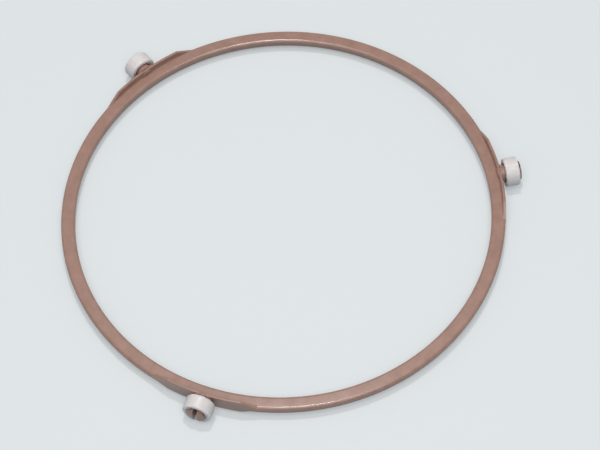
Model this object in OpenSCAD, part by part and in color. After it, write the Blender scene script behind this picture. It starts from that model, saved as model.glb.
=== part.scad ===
// Roller ring that carries a turning tray: a moulded ring with three stub axles,
// each with a roller snapped over its barbed, split end.
// The origin is the ring's centre on the floor, +Z is up and one roller lies on +X.

/* [Ring] */
// Outside diameter of the ring
ring_d = 215; // [170:1:320]
// Width of the ring between its inner and outer sides
ring_w = 6.85; // [6.2:0.05:9]
// Gap between the floor and the ring's lower edge
floor_gap = 2.2; // [1.6:0.1:3]
// How far the ring's flat top lies below the roller axis
top_drop = 0.15; // [0:0.05:0.6]
// Height of the ring's visible sides, above the skirts that stand back
side_h = 2.15; // [1.9:0.05:2.6]
// Radius of the rounded top edges
edge_r = 1.1; // [0.4:0.1:1.5]
// Thickness of the top wall over the channel
top_t = 1.7; // [1.3:0.1:2]
// Thickness of the inner and the outer skirt
skirt_t = 1.3; // [1:0.1:1.6]
// How far the skirts stand back under the ring's sides
skirt_inset = 0.65; // [0.4:0.05:0.9]

/* [Ribs in the channel] */
// Number of cross ribs between the skirts
rib_count = 36; // [12:3:60]
// Thickness of each cross rib
rib_t = 1; // [0.6:0.1:1.5]
// How far the ribs and the backings end above the skirts' lower edges
rib_inset = 0.5; // [0.2:0.1:1]

/* [Lugs] */
// Height of a lug's wall above the ring's top
lug_rise = 3.65; // [2:0.05:4.5]
// Thickness of a lug's wall
lug_t = 1.25; // [1:0.05:1.6]
// How far a lug's wall stands out from the ring's side
lug_proud = 0.05; // [0.02:0.01:0.3]
// Length of a lug at full height
lug_flat = 36; // [20:1:60]
// Length of the slope at each end of a lug
lug_slope = 7; // [4:0.5:12]
// How far a lug's lower edge lies below the skirts' lower edges
lug_drop = 0.2; // [0.1:0.1:0.8]
// Radius of the hollow foot between a lug's wall and the ring's top
foot_r = 0.75; // [0.3:0.05:1.2]
// Radius of the rounded edges along a lug's top
lip_r = 0.4; // [0.1:0.05:0.5]

/* [Stub axles] */
// Diameter of the boss inside a lug's wall, in line with the stub axle
boss_d = 6; // [4:0.1:6.4]
// How far the boss stands out inside a lug's wall
boss_out = 0.4; // [0.2:0.05:0.6]
// Diameter of the collar at the root of a stub axle
collar_d = 8.8; // [8.3:0.1:10]
// Length of the collar outside the ring
collar_l = 0.5; // [0.4:0.1:1.5]
// Diameter of the stub axle where the roller runs
axle_d = 7.9; // [7:0.1:8.1]
// Width of the slot that splits the stub axle into two prongs
slot_w = 2.1; // [1.2:0.05:2.5]
// Distance from the collar's face to the bottom of the slot
slot_start = 2.6; // [0.8:0.1:3.4]
// Largest diameter of the barbs on the prongs
barb_d = 9.2; // [8.7:0.1:9.8]
// Length of a barb's straight edge before it tapers
barb_edge = 0.2; // [0.1:0.05:0.25]
// Diameter of the prongs' blunt ends
tip_d = 8.4; // [7.6:0.1:8.6]
// Radius of the rounding around the prongs' ends
tip_r = 0.7; // [0.3:0.05:0.75]
// How far the prongs stand out of the roller
tip_out = 1.8; // [1.8:0.1:3]

/* [Rollers] */
// Diameter of each roller
roller_d = 14; // [13:0.5:18]
// Width of each roller
roller_w = 6.8; // [6:0.1:10]
// Radius of the roller's rounded rims
rim_r = 0.8; // [0.2:0.1:1.2]
// Running clearance all round the stub axle, in the roller's bore
run_gap = 0.05; // [0.02:0.01:0.1]
// Gap between the collar and the roller's inner face
collar_gap = 1.4; // [0.6:0.05:1.8]
// Gap between the roller's outer face and the barbs
barb_gap = 0.8; // [0.3:0.05:0.8]
// Room all round a barb that slides into the roller's outer mouth
barb_room = 0.4; // [0.15:0.05:0.5]
// Depth of the roller's outer mouth
outer_mouth = 0.6; // [0.3:0.1:2.2]
// Diameter of the roller's inner mouth
inner_mouth_d = 9.8; // [8.4:0.1:10.4]
// Depth of the roller's inner mouth
inner_mouth = 0.8; // [0.5:0.1:1.6]

/* [Hidden] */

// Number of facets round the ring's circles and round the small ones
ring_fn = 360;
small_fn = 72;
// Straight steps in the arcs of the small turned and cut shapes
arc_steps = 8;
// Overlap that fuses the shapes of one moulding, and overrun of a cut
fuse = 0.2;
over = 1;

lug_count = 3;
axis_z = roller_d / 2;
ring_r = ring_d / 2;
inner_r = ring_r - ring_w;
top_z = axis_z - top_drop;
side_z = top_z - side_h;
ceiling_z = top_z - top_t;
skirt_out_r = ring_r - skirt_inset;
skirt_in_r = inner_r + skirt_inset;
channel_out_r = skirt_out_r - skirt_t;
channel_in_r = skirt_in_r + skirt_t;
lug_top_z = top_z + lug_rise;
lug_in_r = ring_r + lug_proud - lug_t;
lug_bottom_z = floor_gap - lug_drop;
lug_half = lug_flat / 2;
lug_end = lug_half + lug_slope;
collar_start = ring_r + lug_proud - fuse;
collar_end = ring_r + collar_l;
roller_in = collar_end + collar_gap;
roller_out = roller_in + roller_w;
barb_start = roller_out + barb_gap;
tip_end = roller_out + tip_out;
bore_d = axle_d + 2 * run_gap;
outer_mouth_d = barb_d + 2 * barb_room;

ring_brown = "#a98a80";
roller_white = "#e4e0e0";

// A rectangle from (x, y) whose two upper corners are rounded
module round_top(x, y, w, h, r) {
    translate([x, y]) square([w, h - r]);
    translate([x + r, y]) square([w - 2 * r, h]);
    for (cx = [x + r, x + w - r])
        translate([cx, y + h - r]) circle(r = r, $fn = small_fn);
}

// Section of the ring: a cap with rounded edges, and a channel between two skirts that stand back
module ring_section() {
    difference() {
        union() {
            round_top(inner_r, side_z, ring_w, side_h, edge_r);
            translate([skirt_in_r, floor_gap])
                square([skirt_out_r - skirt_in_r, side_z + fuse - floor_gap]);
        }
        translate([channel_in_r, floor_gap - over])
            square([channel_out_r - channel_in_r, ceiling_z + over - floor_gap]);
    }
}

// A block of the given width across the channel, on +X
module channel_block(width) {
    bottom_z = floor_gap + rib_inset;
    translate([channel_in_r - fuse, -width / 2, bottom_z])
        cube([channel_out_r - channel_in_r + 2 * fuse, width, ceiling_z + fuse - bottom_z]);
}

// Cross ribs that stiffen the channel under the ring, clear of the backings at the lugs
module cross_ribs() {
    for (i = [0 : rib_count - 1])
        rotate([0, 0, (i + 0.5) * 360 / rib_count]) channel_block(rib_t);
}

// Section of a lug: a wall that covers the ring's outer side, with a hollow foot on the ring's top
module lug_section() {
    root_z = top_z - top_t / 2;
    round_top(lug_in_r, lug_bottom_z, lug_t, lug_top_z - lug_bottom_z, lip_r);
    difference() {
        translate([lug_in_r - foot_r, root_z]) square([foot_r + fuse, top_z + foot_r - root_z]);
        translate([lug_in_r - foot_r, top_z + foot_r]) circle(r = foot_r, $fn = small_fn);
    }
}

// Side view of a lug: full height in the middle, sloping into the ring's side at both ends
module lug_outline() {
    end = lug_end + fuse * lug_slope / lug_rise;
    polygon([
        [-end, side_z + fuse], [-lug_half, lug_bottom_z], [lug_half, lug_bottom_z], [end, side_z + fuse],
        [end, top_z - fuse], [lug_half, lug_top_z], [-lug_half, lug_top_z], [-end, top_z - fuse]
    ]);
}

// Lug on +X
module lug() {
    intersection() {
        rotate([0, 0, 180]) rotate_extrude($fn = ring_fn) lug_section();
        translate([inner_r / 2, 0, 0])
            rotate([90, 0, 90]) linear_extrude(height = ring_r) lug_outline();
    }
}

// Points of an arc from angle a to angle b, about a centre
function arc(cx, cy, r, a, b) = [for (i = [0 : arc_steps]) let (t = a + (b - a) * i / arc_steps)
    [cx + r * cos(t), cy + r * sin(t)]];

// Stub axle as one turned shape: boss, collar, running length, barb and blunt end, as [radius, place along X]
module stub_turned() {
    root = lug_in_r - boss_out;
    rotate_extrude($fn = small_fn)
        polygon(concat(
            [[0, root]],
            arc(boss_d / 2 - boss_out, lug_in_r, boss_out, -90, 0),
            [
                [boss_d / 2, collar_start], [collar_d / 2, collar_start], [collar_d / 2, collar_end],
                [axle_d / 2, collar_end], [axle_d / 2, barb_start],
                [barb_d / 2, barb_start], [barb_d / 2, barb_start + barb_edge]
            ],
            arc(tip_d / 2 - tip_r, tip_end - tip_r, tip_r, 0, 90),
            [[0, tip_end]]
        ));
}

// Upright slot with a round bottom, open at the tip
module slot() {
    bottom = collar_end + slot_start + slot_w / 2;
    linear_extrude(height = roller_d)
        polygon(concat(
            [[tip_end + over, -slot_w / 2], [tip_end + over, slot_w / 2]],
            arc(bottom, 0, slot_w / 2, 90, 270)
        ));
}

// Stub axle on +X, split from the tip
module stub_axle() {
    difference() {
        translate([0, 0, axis_z]) rotate([0, 90, 0]) stub_turned();
        slot();
    }
}

// Solid backing in the channel behind a stub axle
module backing() {
    channel_block(axle_d);
}

// The ring, with its lugs, ribs and stub axles, is one moulding
module ring() {
    color(ring_brown) {
        rotate([0, 0, 180 / lug_count]) rotate_extrude($fn = ring_fn) ring_section();
        cross_ribs();
        for (i = [0 : lug_count - 1])
            rotate([0, 0, i * 360 / lug_count]) {
                lug();
                backing();
                stub_axle();
            }
    }
}

// Section of a roller, beside its axis: rounded rims outside, mouths and running bore inside
module roller_section() {
    difference() {
        union() {
            translate([0, rim_r]) square([roller_d / 2, roller_w - 2 * rim_r]);
            square([roller_d / 2 - rim_r, roller_w]);
            for (y = [rim_r, roller_w - rim_r])
                translate([roller_d / 2 - rim_r, y]) circle(r = rim_r, $fn = small_fn);
        }
        translate([-over, -over]) square([bore_d / 2 + over, roller_w + 2 * over]);
        translate([-over, -over]) square([inner_mouth_d / 2 + over, inner_mouth + over]);
        translate([-over, roller_w - outer_mouth]) square([outer_mouth_d / 2 + over, outer_mouth + over]);
    }
}

// A roller on the stub axle of the lug with the given number, counted from +X
module roller(i) {
    color(roller_white)
        rotate([0, 0, i * 360 / lug_count])
            translate([roller_in, 0, axis_z])
                rotate([0, 90, 0]) rotate_extrude($fn = small_fn) roller_section();
}

ring();
roller(0);  // roller_right
roller(1);  // roller_far
roller(2);  // roller_near
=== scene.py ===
"""Roller ring of a microwave oven: a brown moulded ring with three white rollers, on a pale floor."""

from math import asin, cos, degrees, radians, sin

import bpy
from mathutils import Matrix, Vector

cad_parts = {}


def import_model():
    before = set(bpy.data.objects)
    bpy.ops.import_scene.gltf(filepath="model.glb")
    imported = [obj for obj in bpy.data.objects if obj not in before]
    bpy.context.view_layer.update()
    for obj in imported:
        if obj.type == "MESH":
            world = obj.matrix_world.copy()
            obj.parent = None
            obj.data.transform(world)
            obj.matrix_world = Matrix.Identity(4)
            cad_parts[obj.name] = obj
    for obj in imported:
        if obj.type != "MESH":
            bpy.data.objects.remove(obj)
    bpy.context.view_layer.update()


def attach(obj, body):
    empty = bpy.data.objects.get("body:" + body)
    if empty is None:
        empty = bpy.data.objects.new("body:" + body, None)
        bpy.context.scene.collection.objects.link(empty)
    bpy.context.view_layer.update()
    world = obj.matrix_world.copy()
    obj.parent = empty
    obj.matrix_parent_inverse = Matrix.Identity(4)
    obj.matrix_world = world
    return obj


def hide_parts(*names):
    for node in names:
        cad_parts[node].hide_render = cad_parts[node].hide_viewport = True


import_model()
bpy.ops.object.select_all(action="DESELECT")

MM = 0.001

# All sizes of the pieces are in millimetres, and all angles in degrees

# Ring; the rounding of its top edges is as wide as their highlights need
RING_R = 107.5
RING_W = 6.85
TOP_Z = 6.85
SIDE_H = 2.15
EDGE_R = 1.4
TOP_T = 1.7
SKIRT_T = 1.3
SKIRT_INSET = 0.65
SKIRT_BOTTOM = 2.2
RING_STEPS = 360

# Cross ribs in the channel, and backings behind the stub axles
RIB_COUNT = 36
RIB_T = 1.0
RIB_BOTTOM = 2.7
RIB_OVERLAP = 0.2

# Lugs
LUG_COUNT = 3
LUG_RISE = 3.65
LUG_PROUD = 0.05
LUG_T = 1.25
LUG_DROP = 0.2
LUG_HALF = 18.0
LUG_SLOPE = 7.0
LUG_REACH = 15.0
LUG_STEPS = 60
FOOT_R = 0.75
FOOT_SINK = 0.02
LIP_R = 0.4

# Stub axles
AXIS_Z = 7.0
BOSS_R = 3.0
BOSS_OUT = 0.4
COLLAR_R = 4.4
COLLAR_L = 0.5
COLLAR_SINK = 0.15
AXLE_R = 3.95
SLOT_W = 2.1
SLOT_START = 2.6
SLOT_OVERRUN = 1.0
SLOT_STEPS = 16
BARB_R = 4.6
BARB_GAP = 0.8
DOME_R = 13.6
TIP_OUT = 1.8
TURNED_STEPS = 96

# Rollers
ROLLER_R = 7.0
ROLLER_W = 6.8
RIM_R = 0.8
BORE_R = 4.0
COLLAR_GAP = 1.4
INNER_MOUTH_R = 4.9
INNER_MOUTH = 0.8
OUTER_MOUTH_R = 5.0
OUTER_MOUTH = 0.6
MOUTH_EDGE = 0.2
MOUTH_STEPS = 4

# Small rounding of the mouldings' corners, and the sharpness from which a corner gets it
MOULD_EDGE = 0.12
MOULD_STEPS = 4
MOULD_SHARP = 25
LUG_EDGE = 0.15
LUG_SHARP = 50

# Steps in the larger rounded corners, the sharpest angle shaded smooth, and the gap closed in a spin
CORNER_STEPS = 8
SMOOTH_ANGLE = 24
SEAM_GAP = 0.001

INNER_R = RING_R - RING_W
SIDE_Z = TOP_Z - SIDE_H
CEILING_Z = TOP_Z - TOP_T
SKIRT_OUT_R = RING_R - SKIRT_INSET
SKIRT_IN_R = INNER_R + SKIRT_INSET
CHANNEL_OUT_R = SKIRT_OUT_R - SKIRT_T
CHANNEL_IN_R = SKIRT_IN_R + SKIRT_T
LUG_OUT_R = RING_R + LUG_PROUD
LUG_IN_R = LUG_OUT_R - LUG_T
LUG_TOP = TOP_Z + LUG_RISE
LUG_BOTTOM = SKIRT_BOTTOM - LUG_DROP
LUG_ROOT = (CEILING_Z + TOP_Z) / 2
LUG_END = LUG_HALF + LUG_SLOPE
COLLAR_END = RING_R + COLLAR_L
ROLLER_IN = COLLAR_END + COLLAR_GAP
ROLLER_OUT = ROLLER_IN + ROLLER_W
BARB_START = ROLLER_OUT + BARB_GAP
TIP_END = ROLLER_OUT + TIP_OUT


# Modelling helpers

def only(piece):
    """Makes a piece the only selected one, and the active one."""
    bpy.ops.object.select_all(action="DESELECT")
    piece.select_set(True)
    bpy.context.view_layer.objects.active = piece


def edit(piece, kind="VERT"):
    """Starts an edit of a piece, with everything selected."""
    only(piece)
    bpy.ops.object.mode_set(mode="EDIT")
    bpy.ops.mesh.select_mode(type=kind)
    bpy.ops.mesh.select_all(action="SELECT")


def leave_edit():
    """Ends the edit of a piece."""
    bpy.ops.object.mode_set(mode="OBJECT")


def modify(piece, kind, **settings):
    """Adds a modifier with its settings to a piece and applies it."""
    only(piece)
    modifier = piece.modifiers.new(kind.title(), kind)
    for key, value in settings.items():
        setattr(modifier, key, value)
    bpy.ops.object.modifier_apply(modifier=modifier.name)


def soften(piece, width=MOULD_EDGE, sharp=MOULD_SHARP):
    """Rounds every corner sharper than an angle a little, as a moulding's corners are."""
    modify(piece, "BEVEL", width=width * MM, segments=MOULD_STEPS, limit_method="ANGLE",
           angle_limit=radians(sharp), offset_type="OFFSET")


def turn(piece, angle):
    """Turns a piece round the ring's axis, in its mesh."""
    only(piece)
    piece.rotation_euler.z = radians(angle)
    bpy.ops.object.transform_apply(location=False, rotation=True, scale=False)


def copy_turned(piece, name, angle):
    """A copy of a piece with its own mesh, turned round the ring's axis."""
    only(piece)
    bpy.ops.object.duplicate()
    copy = bpy.context.active_object
    copy.name = name
    turn(copy, angle)
    return copy


def join(pieces):
    """Joins pieces into the first of them."""
    only(pieces[0])
    for piece in pieces:
        piece.select_set(True)
    bpy.ops.object.join()
    return pieces[0]


def combine(piece, other, operation):
    """Unites another closed piece with this one, or cuts it away, and deletes the other."""
    modify(piece, "BOOLEAN", object=other, operation=operation, solver="EXACT")
    bpy.data.objects.remove(other, do_unlink=True)


def corner(centre, radius, start, end, steps=CORNER_STEPS):
    """Points of an arc about a centre in the plane of a section, from one angle to another."""
    angles = [radians(start + (end - start) * i / steps) for i in range(steps + 1)]
    return [(centre[0] + radius * cos(a), centre[1] + radius * sin(a)) for a in angles]


def outline(name, points, closed=True):
    """Draws an outline by extruding a vertex from point to point, in millimetres."""
    places = [Vector(p) * MM for p in points]
    bpy.ops.object.select_all(action="DESELECT")
    bpy.ops.mesh.primitive_plane_add(size=MM)
    piece = bpy.context.active_object
    piece.name = name
    edit(piece)
    bpy.ops.mesh.merge(type="CENTER")
    bpy.ops.transform.translate(value=places[0])
    for here, there in zip(places, places[1:]):
        bpy.ops.mesh.extrude_region_move(TRANSFORM_OT_translate={"value": there - here})
    if closed:
        bpy.ops.mesh.select_all(action="SELECT")
        bpy.ops.mesh.edge_face_add()
    leave_edit()
    return piece


def upright(points):
    """Points of a section (radius, height) on the +X side."""
    return [(x, 0, z) for x, z in points]


def along_axle(points):
    """Points of a section (place along the axle, radius) on the +X side."""
    return [(x, 0, AXIS_Z + r) for x, r in points]


def revolve(piece, steps, angle=360, axis=(0, 0, 1), height=0):
    """Spins an outline's edges round an axis at a height, and closes the ends of a part turn."""
    edit(piece, "EDGE")
    if piece.data.polygons:
        bpy.ops.mesh.delete(type="ONLY_FACE")
        bpy.ops.mesh.select_all(action="SELECT")
    bpy.ops.mesh.spin(steps=steps, angle=radians(angle), center=(0, 0, height * MM), axis=axis)
    bpy.ops.mesh.select_all(action="SELECT")
    bpy.ops.mesh.remove_doubles(threshold=SEAM_GAP * MM)
    if angle < 360:
        bpy.ops.mesh.select_all(action="DESELECT")
        bpy.ops.mesh.select_non_manifold()
        bpy.ops.mesh.edge_face_add()
    bpy.ops.mesh.select_all(action="SELECT")
    bpy.ops.mesh.normals_make_consistent(inside=False)
    leave_edit()


def shave(piece, point, normal):
    """Cuts a piece along a plane, takes off what lies beyond it and closes the cut."""
    edit(piece)
    bpy.ops.mesh.bisect(plane_co=Vector(point) * MM, plane_no=Vector(normal).normalized(),
                        use_fill=True, clear_outer=True)
    leave_edit()


def smooth(piece):
    """Shades a piece smooth up to an angle, with its large flat faces kept flat to the eye."""
    only(piece)
    bpy.ops.object.shade_smooth_by_angle(angle=radians(SMOOTH_ANGLE))
    modify(piece, "WEIGHTED_NORMAL", mode="FACE_AREA", weight=80, keep_sharp=True)


# Ring

def band():
    """Flat band with rounded top edges, on two skirts that stand back under it."""
    inner_edge = corner((INNER_R + EDGE_R, TOP_Z - EDGE_R), EDGE_R, 180, 90)
    outer_edge = corner((RING_R - EDGE_R, TOP_Z - EDGE_R), EDGE_R, 90, 0)
    skirt_in = [(SKIRT_IN_R, SKIRT_BOTTOM), (SKIRT_IN_R, SIDE_Z), (INNER_R, SIDE_Z)]
    skirt_out = [(RING_R, SIDE_Z), (SKIRT_OUT_R, SIDE_Z), (SKIRT_OUT_R, SKIRT_BOTTOM)]
    channel = [(CHANNEL_OUT_R, SKIRT_BOTTOM), (CHANNEL_OUT_R, CEILING_Z),
               (CHANNEL_IN_R, CEILING_Z), (CHANNEL_IN_R, SKIRT_BOTTOM)]
    piece = outline("ring", upright(skirt_in + inner_edge + outer_edge + skirt_out + channel))
    revolve(piece, RING_STEPS)
    soften(piece)
    return piece


def channel_block(name, width, angle):
    """A block of the given width across the channel, at an angle round the ring."""
    length = CHANNEL_OUT_R - CHANNEL_IN_R + 2 * RIB_OVERLAP
    height = CEILING_Z + RIB_OVERLAP - RIB_BOTTOM
    bpy.ops.object.select_all(action="DESELECT")
    bpy.ops.mesh.primitive_cube_add(size=MM)
    piece = bpy.context.active_object
    piece.name = name
    edit(piece)
    bpy.ops.transform.resize(value=(length, width, height))
    bpy.ops.transform.translate(value=((CHANNEL_IN_R + CHANNEL_OUT_R) / 2 * MM, 0,
                                       (RIB_BOTTOM + height / 2) * MM))
    leave_edit()
    soften(piece)
    turn(piece, angle)
    return piece


def lug():
    """Low wall on the ring's outer side, with a hollow foot, sloping into the ring at both ends."""
    foot = corner((LUG_IN_R - FOOT_R, TOP_Z + FOOT_R - FOOT_SINK), FOOT_R, -90, 0)
    lip_in = corner((LUG_IN_R + LIP_R, LUG_TOP - LIP_R), LIP_R, 180, 90)
    lip_out = corner((LUG_OUT_R - LIP_R, LUG_TOP - LIP_R), LIP_R, 90, 0)
    base = [(LUG_OUT_R, LUG_BOTTOM), (LUG_IN_R, LUG_BOTTOM),
            (LUG_IN_R, LUG_ROOT), (LUG_IN_R - FOOT_R, LUG_ROOT)]
    piece = outline("lug", upright(foot + lip_in + lip_out + base))
    turn(piece, LUG_REACH)
    revolve(piece, LUG_STEPS, 2 * LUG_REACH)
    for side in (-1, 1):
        shave(piece, (0, side * LUG_END, TOP_Z), (0, side * LUG_RISE, LUG_SLOPE))
        shave(piece, (0, side * LUG_END, SIDE_Z), (0, side * (SIDE_Z - LUG_BOTTOM), -LUG_SLOPE))
    soften(piece, width=LUG_EDGE, sharp=LUG_SHARP)
    return piece


def stub_axle():
    """Boss inside the lug, collar, running length and barbed, domed end, split by an upright slot."""
    root = LUG_IN_R - BOSS_OUT
    start = RING_R - COLLAR_SINK
    rounded = corner((root + BOSS_OUT, BOSS_R - BOSS_OUT), BOSS_OUT, 180, 90)
    collar = [(start, BOSS_R), (start, COLLAR_R), (COLLAR_END, COLLAR_R), (COLLAR_END, AXLE_R)]
    barb = [(BARB_START, AXLE_R), (BARB_START, BARB_R)]
    dome = corner((TIP_END - DOME_R, 0), DOME_R, degrees(asin(BARB_R / DOME_R)), 0)
    piece = outline("stub", along_axle([(root, 0)] + rounded + collar + barb + dome), closed=False)
    revolve(piece, TURNED_STEPS, axis=(1, 0, 0), height=AXIS_Z)
    bottom = corner((COLLAR_END + SLOT_START + SLOT_W / 2, 0), SLOT_W / 2, 90, 270, SLOT_STEPS)
    mouth_x = TIP_END + SLOT_OVERRUN
    mouth = [(mouth_x, -SLOT_W / 2), (mouth_x, SLOT_W / 2)]
    slot = outline("slot", [(x, y, 0) for x, y in bottom + mouth])
    edit(slot, "FACE")
    bpy.ops.mesh.extrude_region_move(TRANSFORM_OT_translate={"value": (0, 0, 2 * AXIS_Z * MM)})
    bpy.ops.mesh.select_all(action="SELECT")
    bpy.ops.mesh.normals_make_consistent(inside=False)
    leave_edit()
    combine(piece, slot, "DIFFERENCE")
    soften(piece)
    return piece


def moulded_ring():
    """The whole moulding: band, ribs, lugs and stub axles, united into one closed mesh."""
    ring = band()
    pitch = 360 / RIB_COUNT
    blocks = [channel_block("rib", RIB_T, (i + 0.5) * pitch) for i in range(RIB_COUNT)]
    blocks += [channel_block("backing", 2 * AXLE_R, i * 360 / LUG_COUNT) for i in range(LUG_COUNT)]
    combine(ring, join(blocks), "UNION")
    first = lug()
    combine(first, stub_axle(), "UNION")
    others = [copy_turned(first, "lug", i * 360 / LUG_COUNT) for i in range(1, LUG_COUNT)]
    combine(ring, join([first] + others), "UNION")
    smooth(ring)
    return ring


# Rollers

def roller(name, angle):
    """Plain roller with rounded rims, a running bore and a wider mouth at both ends."""
    rim = ROLLER_R - RIM_R
    inner_rim = corner((ROLLER_IN + RIM_R, rim), RIM_R, 180, 90)
    outer_rim = corner((ROLLER_OUT - RIM_R, rim), RIM_R, 90, 0)
    outer_lip = corner((ROLLER_OUT - MOUTH_EDGE, OUTER_MOUTH_R + MOUTH_EDGE), MOUTH_EDGE,
                       0, -90, MOUTH_STEPS)
    inner_lip = corner((ROLLER_IN + MOUTH_EDGE, INNER_MOUTH_R + MOUTH_EDGE), MOUTH_EDGE,
                       -90, -180, MOUTH_STEPS)
    outer_step = ROLLER_OUT - OUTER_MOUTH
    inner_step = ROLLER_IN + INNER_MOUTH
    bore = [(outer_step, OUTER_MOUTH_R), (outer_step, BORE_R),
            (inner_step, BORE_R), (inner_step, INNER_MOUTH_R)]
    piece = outline(name, along_axle(inner_rim + outer_rim + outer_lip + bore + inner_lip))
    revolve(piece, TURNED_STEPS, axis=(1, 0, 0), height=AXIS_Z)
    turn(piece, angle)
    smooth(piece)
    return piece


# Materials

def linear(hex_colour):
    """An sRGB hex colour as linear red, green, blue and alpha."""
    channels = [int(hex_colour[i:i + 2], 16) / 255 for i in (1, 3, 5)]
    return [c / 12.92 if c <= 0.04045 else ((c + 0.055) / 1.055) ** 2.4 for c in channels] + [1.0]


def node(tree, kind, links=None, **settings):
    """Adds a shader node, sets its properties and inputs, and links inputs to other nodes' outputs."""
    made = tree.nodes.new(kind)
    for key, value in settings.items():
        if hasattr(made, key):
            setattr(made, key, value)
        else:
            made.inputs[key.replace("_", " ")].default_value = value
    for name, output in (links or {}).items():
        tree.links.new(output, made.inputs[name])
    return made


def new_material(name):
    """An empty material, and its tree of nodes."""
    material = bpy.data.materials.new(name)
    material.use_nodes = True
    tree = material.node_tree
    tree.nodes.clear()
    return material, tree


# Where nearly all values of a noise pattern lie
NOISE_LOW = 0.3
NOISE_HIGH = 0.7


def per_mm(size):
    """Noise scale that gives features of a size in millimetres."""
    return 1 / (size * MM)


def plastic(name, light, dark, roughness, patch, grain, grain_height, **shader):
    """Moulded plastic: soft patches of colour and gloss, and a fine grain left by the mould.

    The sizes of the patches and the grain, and the grain's height, are in millimetres. A mould's
    own grain is about 0.1 mm, so it is drawn several times as coarse, as it needs to show.
    """
    material, tree = new_material(name)
    place = node(tree, "ShaderNodeTexCoord").outputs["Object"]
    patches = node(tree, "ShaderNodeTexNoise", {"Vector": place}, Scale=per_mm(patch), Detail=3.0,
                   Roughness=0.55)
    colours = node(tree, "ShaderNodeValToRGB", {"Fac": patches.outputs["Fac"]})
    ends = ((NOISE_LOW, dark), (NOISE_HIGH, light))
    for stop, (position, colour) in zip(colours.color_ramp.elements, ends):
        stop.position = position
        stop.color = linear(colour)
    gloss = node(tree, "ShaderNodeMapRange", {"Value": patches.outputs["Fac"]},
                 To_Min=roughness[0], To_Max=roughness[1])
    fine = node(tree, "ShaderNodeTexNoise", {"Vector": place}, Scale=per_mm(grain), Detail=2.0)
    bump = node(tree, "ShaderNodeBump", {"Height": fine.outputs["Fac"]}, Strength=1.0,
                Distance=grain_height * MM)
    surface = node(tree, "ShaderNodeBsdfPrincipled", {
        "Base Color": colours.outputs["Color"],
        "Roughness": gloss.outputs["Result"],
        "Normal": bump.outputs["Normal"],
    }, **shader)
    node(tree, "ShaderNodeOutputMaterial", {"Surface": surface.outputs["BSDF"]})
    return material


def ring_plastic():
    """Heat-proof filled polyester, injection moulded.

    It is brown, faintly mottled by its filler, with a smooth skin that shines along its edges.
    """
    return plastic("moulded_brown_polyester", "#a98679", "#9d7c6f", (0.15, 0.19), patch=5.0,
                   grain=0.7, grain_height=0.004, IOR=1.5)


def roller_plastic():
    """Acetal, injection moulded: off-white and waxy, so light softens under its skin."""
    return plastic("moulded_white_acetal", "#e5dfde", "#dfdad9", (0.32, 0.42), patch=3.0,
                   grain=0.8, grain_height=0.006, IOR=1.48, Subsurface_Weight=1.0,
                   Subsurface_Radius=(1.0, 0.95, 0.93), Subsurface_Scale=3 * MM)


def floor_card():
    """Matt studio card: pale where it is seen, and a cool grey in the light that it throws back.

    Where it is seen, a share of its colour glows, which lightens the shade on it. The glow lights
    nothing, because only camera, glossy and transmission rays meet it.
    """
    material, tree = new_material("matt_card")
    place = node(tree, "ShaderNodeTexCoord").outputs["Object"]
    fibres = node(tree, "ShaderNodeTexNoise", {"Vector": place}, Scale=per_mm(FIBRE_SIZE), Detail=2.0)
    bump = node(tree, "ShaderNodeBump", {"Height": fibres.outputs["Fac"]}, Strength=1.0,
                Distance=FIBRE_HEIGHT * MM)
    ray = node(tree, "ShaderNodeLightPath").outputs
    mirrored = node(tree, "ShaderNodeMath", {0: ray["Is Glossy Ray"], 1: ray["Is Transmission Ray"]},
                    operation="MAXIMUM")
    seen = node(tree, "ShaderNodeMath", {0: ray["Is Camera Ray"], 1: mirrored.outputs["Value"]},
                operation="MAXIMUM")
    tone = node(tree, "ShaderNodeMix", {"Factor": seen.outputs["Value"]}, data_type="RGBA")
    colour_a, colour_b, mixed_colour = tone.inputs[6], tone.inputs[7], tone.outputs[2]
    colour_a.default_value = linear(FLOOR_BOUNCE)
    colour_b.default_value = linear(FLOOR_SEEN)
    surface = node(tree, "ShaderNodeBsdfPrincipled",
                   {"Normal": bump.outputs["Normal"], "Base Color": mixed_colour}, Roughness=0.9)
    glow = node(tree, "ShaderNodeEmission", Color=linear(FLOOR_SEEN), Strength=FLOOR_GLOW)
    lift = node(tree, "ShaderNodeMath", {0: seen.outputs["Value"]}, operation="MULTIPLY")
    lift.inputs[1].default_value = SHADE_LIFT
    mixed = node(tree, "ShaderNodeMixShader", {
        "Fac": lift.outputs["Value"],
        1: surface.outputs["BSDF"],
        2: glow.outputs["Emission"],
    })
    node(tree, "ShaderNodeOutputMaterial", {"Surface": mixed.outputs["Shader"]})
    return material


# Studio

# Floor: side in metres, colours, share that glows and how bright, card fibres in millimetres
FLOOR_SIZE = 6.0
FLOOR_SEEN = "#e3e8ea"
FLOOR_BOUNCE = "#8aa1ad"
SHADE_LIFT = 0.38
FLOOR_GLOW = 0.95
FIBRE_SIZE = 1.5
FIBRE_HEIGHT = 0.01

# Camera: the point it looks at, its distance, lens and sensor in millimetres, angles in degrees,
# and the nearest and furthest that it sees in metres
LOOK_AT = (6.59, -10.22, 7.0)
VIEW_AZIMUTH = 352.03
VIEW_ELEVATION = 58.64
VIEW_ROLL = 2.68
VIEW_DISTANCE = 1010.5
VIEW_LENS = 126.0
VIEW_SENSOR = 36.0
VIEW_NEAR = 0.05
VIEW_FAR = 20.0

# Light: strength of the white world; each lamp's azimuth, elevation, distance, size and watts.
# The small key draws the bright lines along the rounded edges, the softbox adds a soft gloss
# there, and the fill gives most of the light.
WORLD_LIGHT = 0.28
KEY = (171, 75, 1.6, 0.07, 6.5)
SOFTBOX = (166, 80, 1.5, 1.0, 1.5)
FILL = (350, 68, 1.5, 1.2, 11.4)


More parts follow.
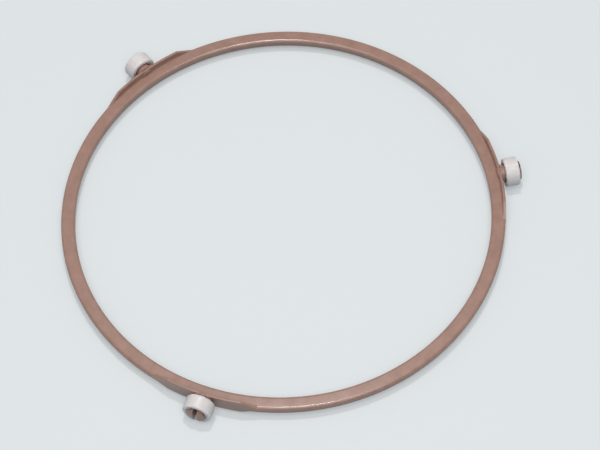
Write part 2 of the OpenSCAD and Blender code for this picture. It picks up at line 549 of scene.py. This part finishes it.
def floor():
    """Wide floor that the rollers stand on."""
    bpy.ops.object.select_all(action="DESELECT")
    bpy.ops.mesh.primitive_plane_add(size=FLOOR_SIZE)
    piece = bpy.context.active_object
    piece.name = "floor"
    piece.data.materials.append(floor_card())


def direction(azimuth, elevation):
    """Unit vector from the object towards a place given as a view's azimuth and elevation."""
    a, e = radians(azimuth), radians(elevation)
    return Vector((sin(a) * cos(e), -cos(a) * cos(e), sin(e)))


def camera():
    """Camera at the photograph's viewing angle, turned a little about its line of sight."""
    back = direction(VIEW_AZIMUTH, VIEW_ELEVATION)
    right = Vector((0, 0, 1)).cross(back).normalized()
    up = back.cross(right)
    roll = radians(VIEW_ROLL)
    across = cos(roll) * right - sin(roll) * up
    upwards = sin(roll) * right + cos(roll) * up
    data = bpy.data.cameras.new("camera")
    data.lens = VIEW_LENS
    data.sensor_width = VIEW_SENSOR
    data.clip_start = VIEW_NEAR
    data.clip_end = VIEW_FAR
    made = bpy.data.objects.new("camera", data)
    bpy.context.scene.collection.objects.link(made)
    turned = Matrix((across, upwards, back)).transposed().to_4x4()
    made.matrix_world = Matrix.Translation(Vector(LOOK_AT) * MM + back * VIEW_DISTANCE * MM) @ turned
    bpy.context.scene.camera = made


def soft_light(name, azimuth, elevation, distance, size, power):
    """A square lamp that faces the ring's centre; distance and size in metres, power in watts."""
    data = bpy.data.lights.new(name, "AREA")
    data.size = size
    data.energy = power
    made = bpy.data.objects.new(name, data)
    bpy.context.scene.collection.objects.link(made)
    towards = direction(azimuth, elevation)
    made.location = towards * distance
    made.rotation_mode = "QUATERNION"
    made.rotation_quaternion = towards.to_track_quat("Z", "Y")


def world(colour, strength):
    """Even light from all round."""
    made = bpy.data.worlds.new("studio")
    made.use_nodes = True
    tree = made.node_tree
    tree.nodes.clear()
    surface = node(tree, "ShaderNodeBackground", Color=linear(colour), Strength=strength)
    node(tree, "ShaderNodeOutputWorld", {"Surface": surface.outputs["Background"]})
    bpy.context.scene.world = made


# Assembly

brown = ring_plastic()
white = roller_plastic()
ring = moulded_ring()
ring.data.materials.append(brown)
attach(ring, "ring")
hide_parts("ring")
for number, place_name in enumerate(("right", "far", "near")):
    node_name = "roller_" + place_name
    piece = roller(node_name + "_moulding", number * 360 / LUG_COUNT)
    piece.data.materials.append(white)
    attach(piece, node_name)
    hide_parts(node_name)

floor()
camera()
world("#ffffff", WORLD_LIGHT)
soft_light("key", *KEY)
soft_light("softbox", *SOFTBOX)
soft_light("fill", *FILL)
bpy.context.scene.view_settings.view_transform = "Standard"
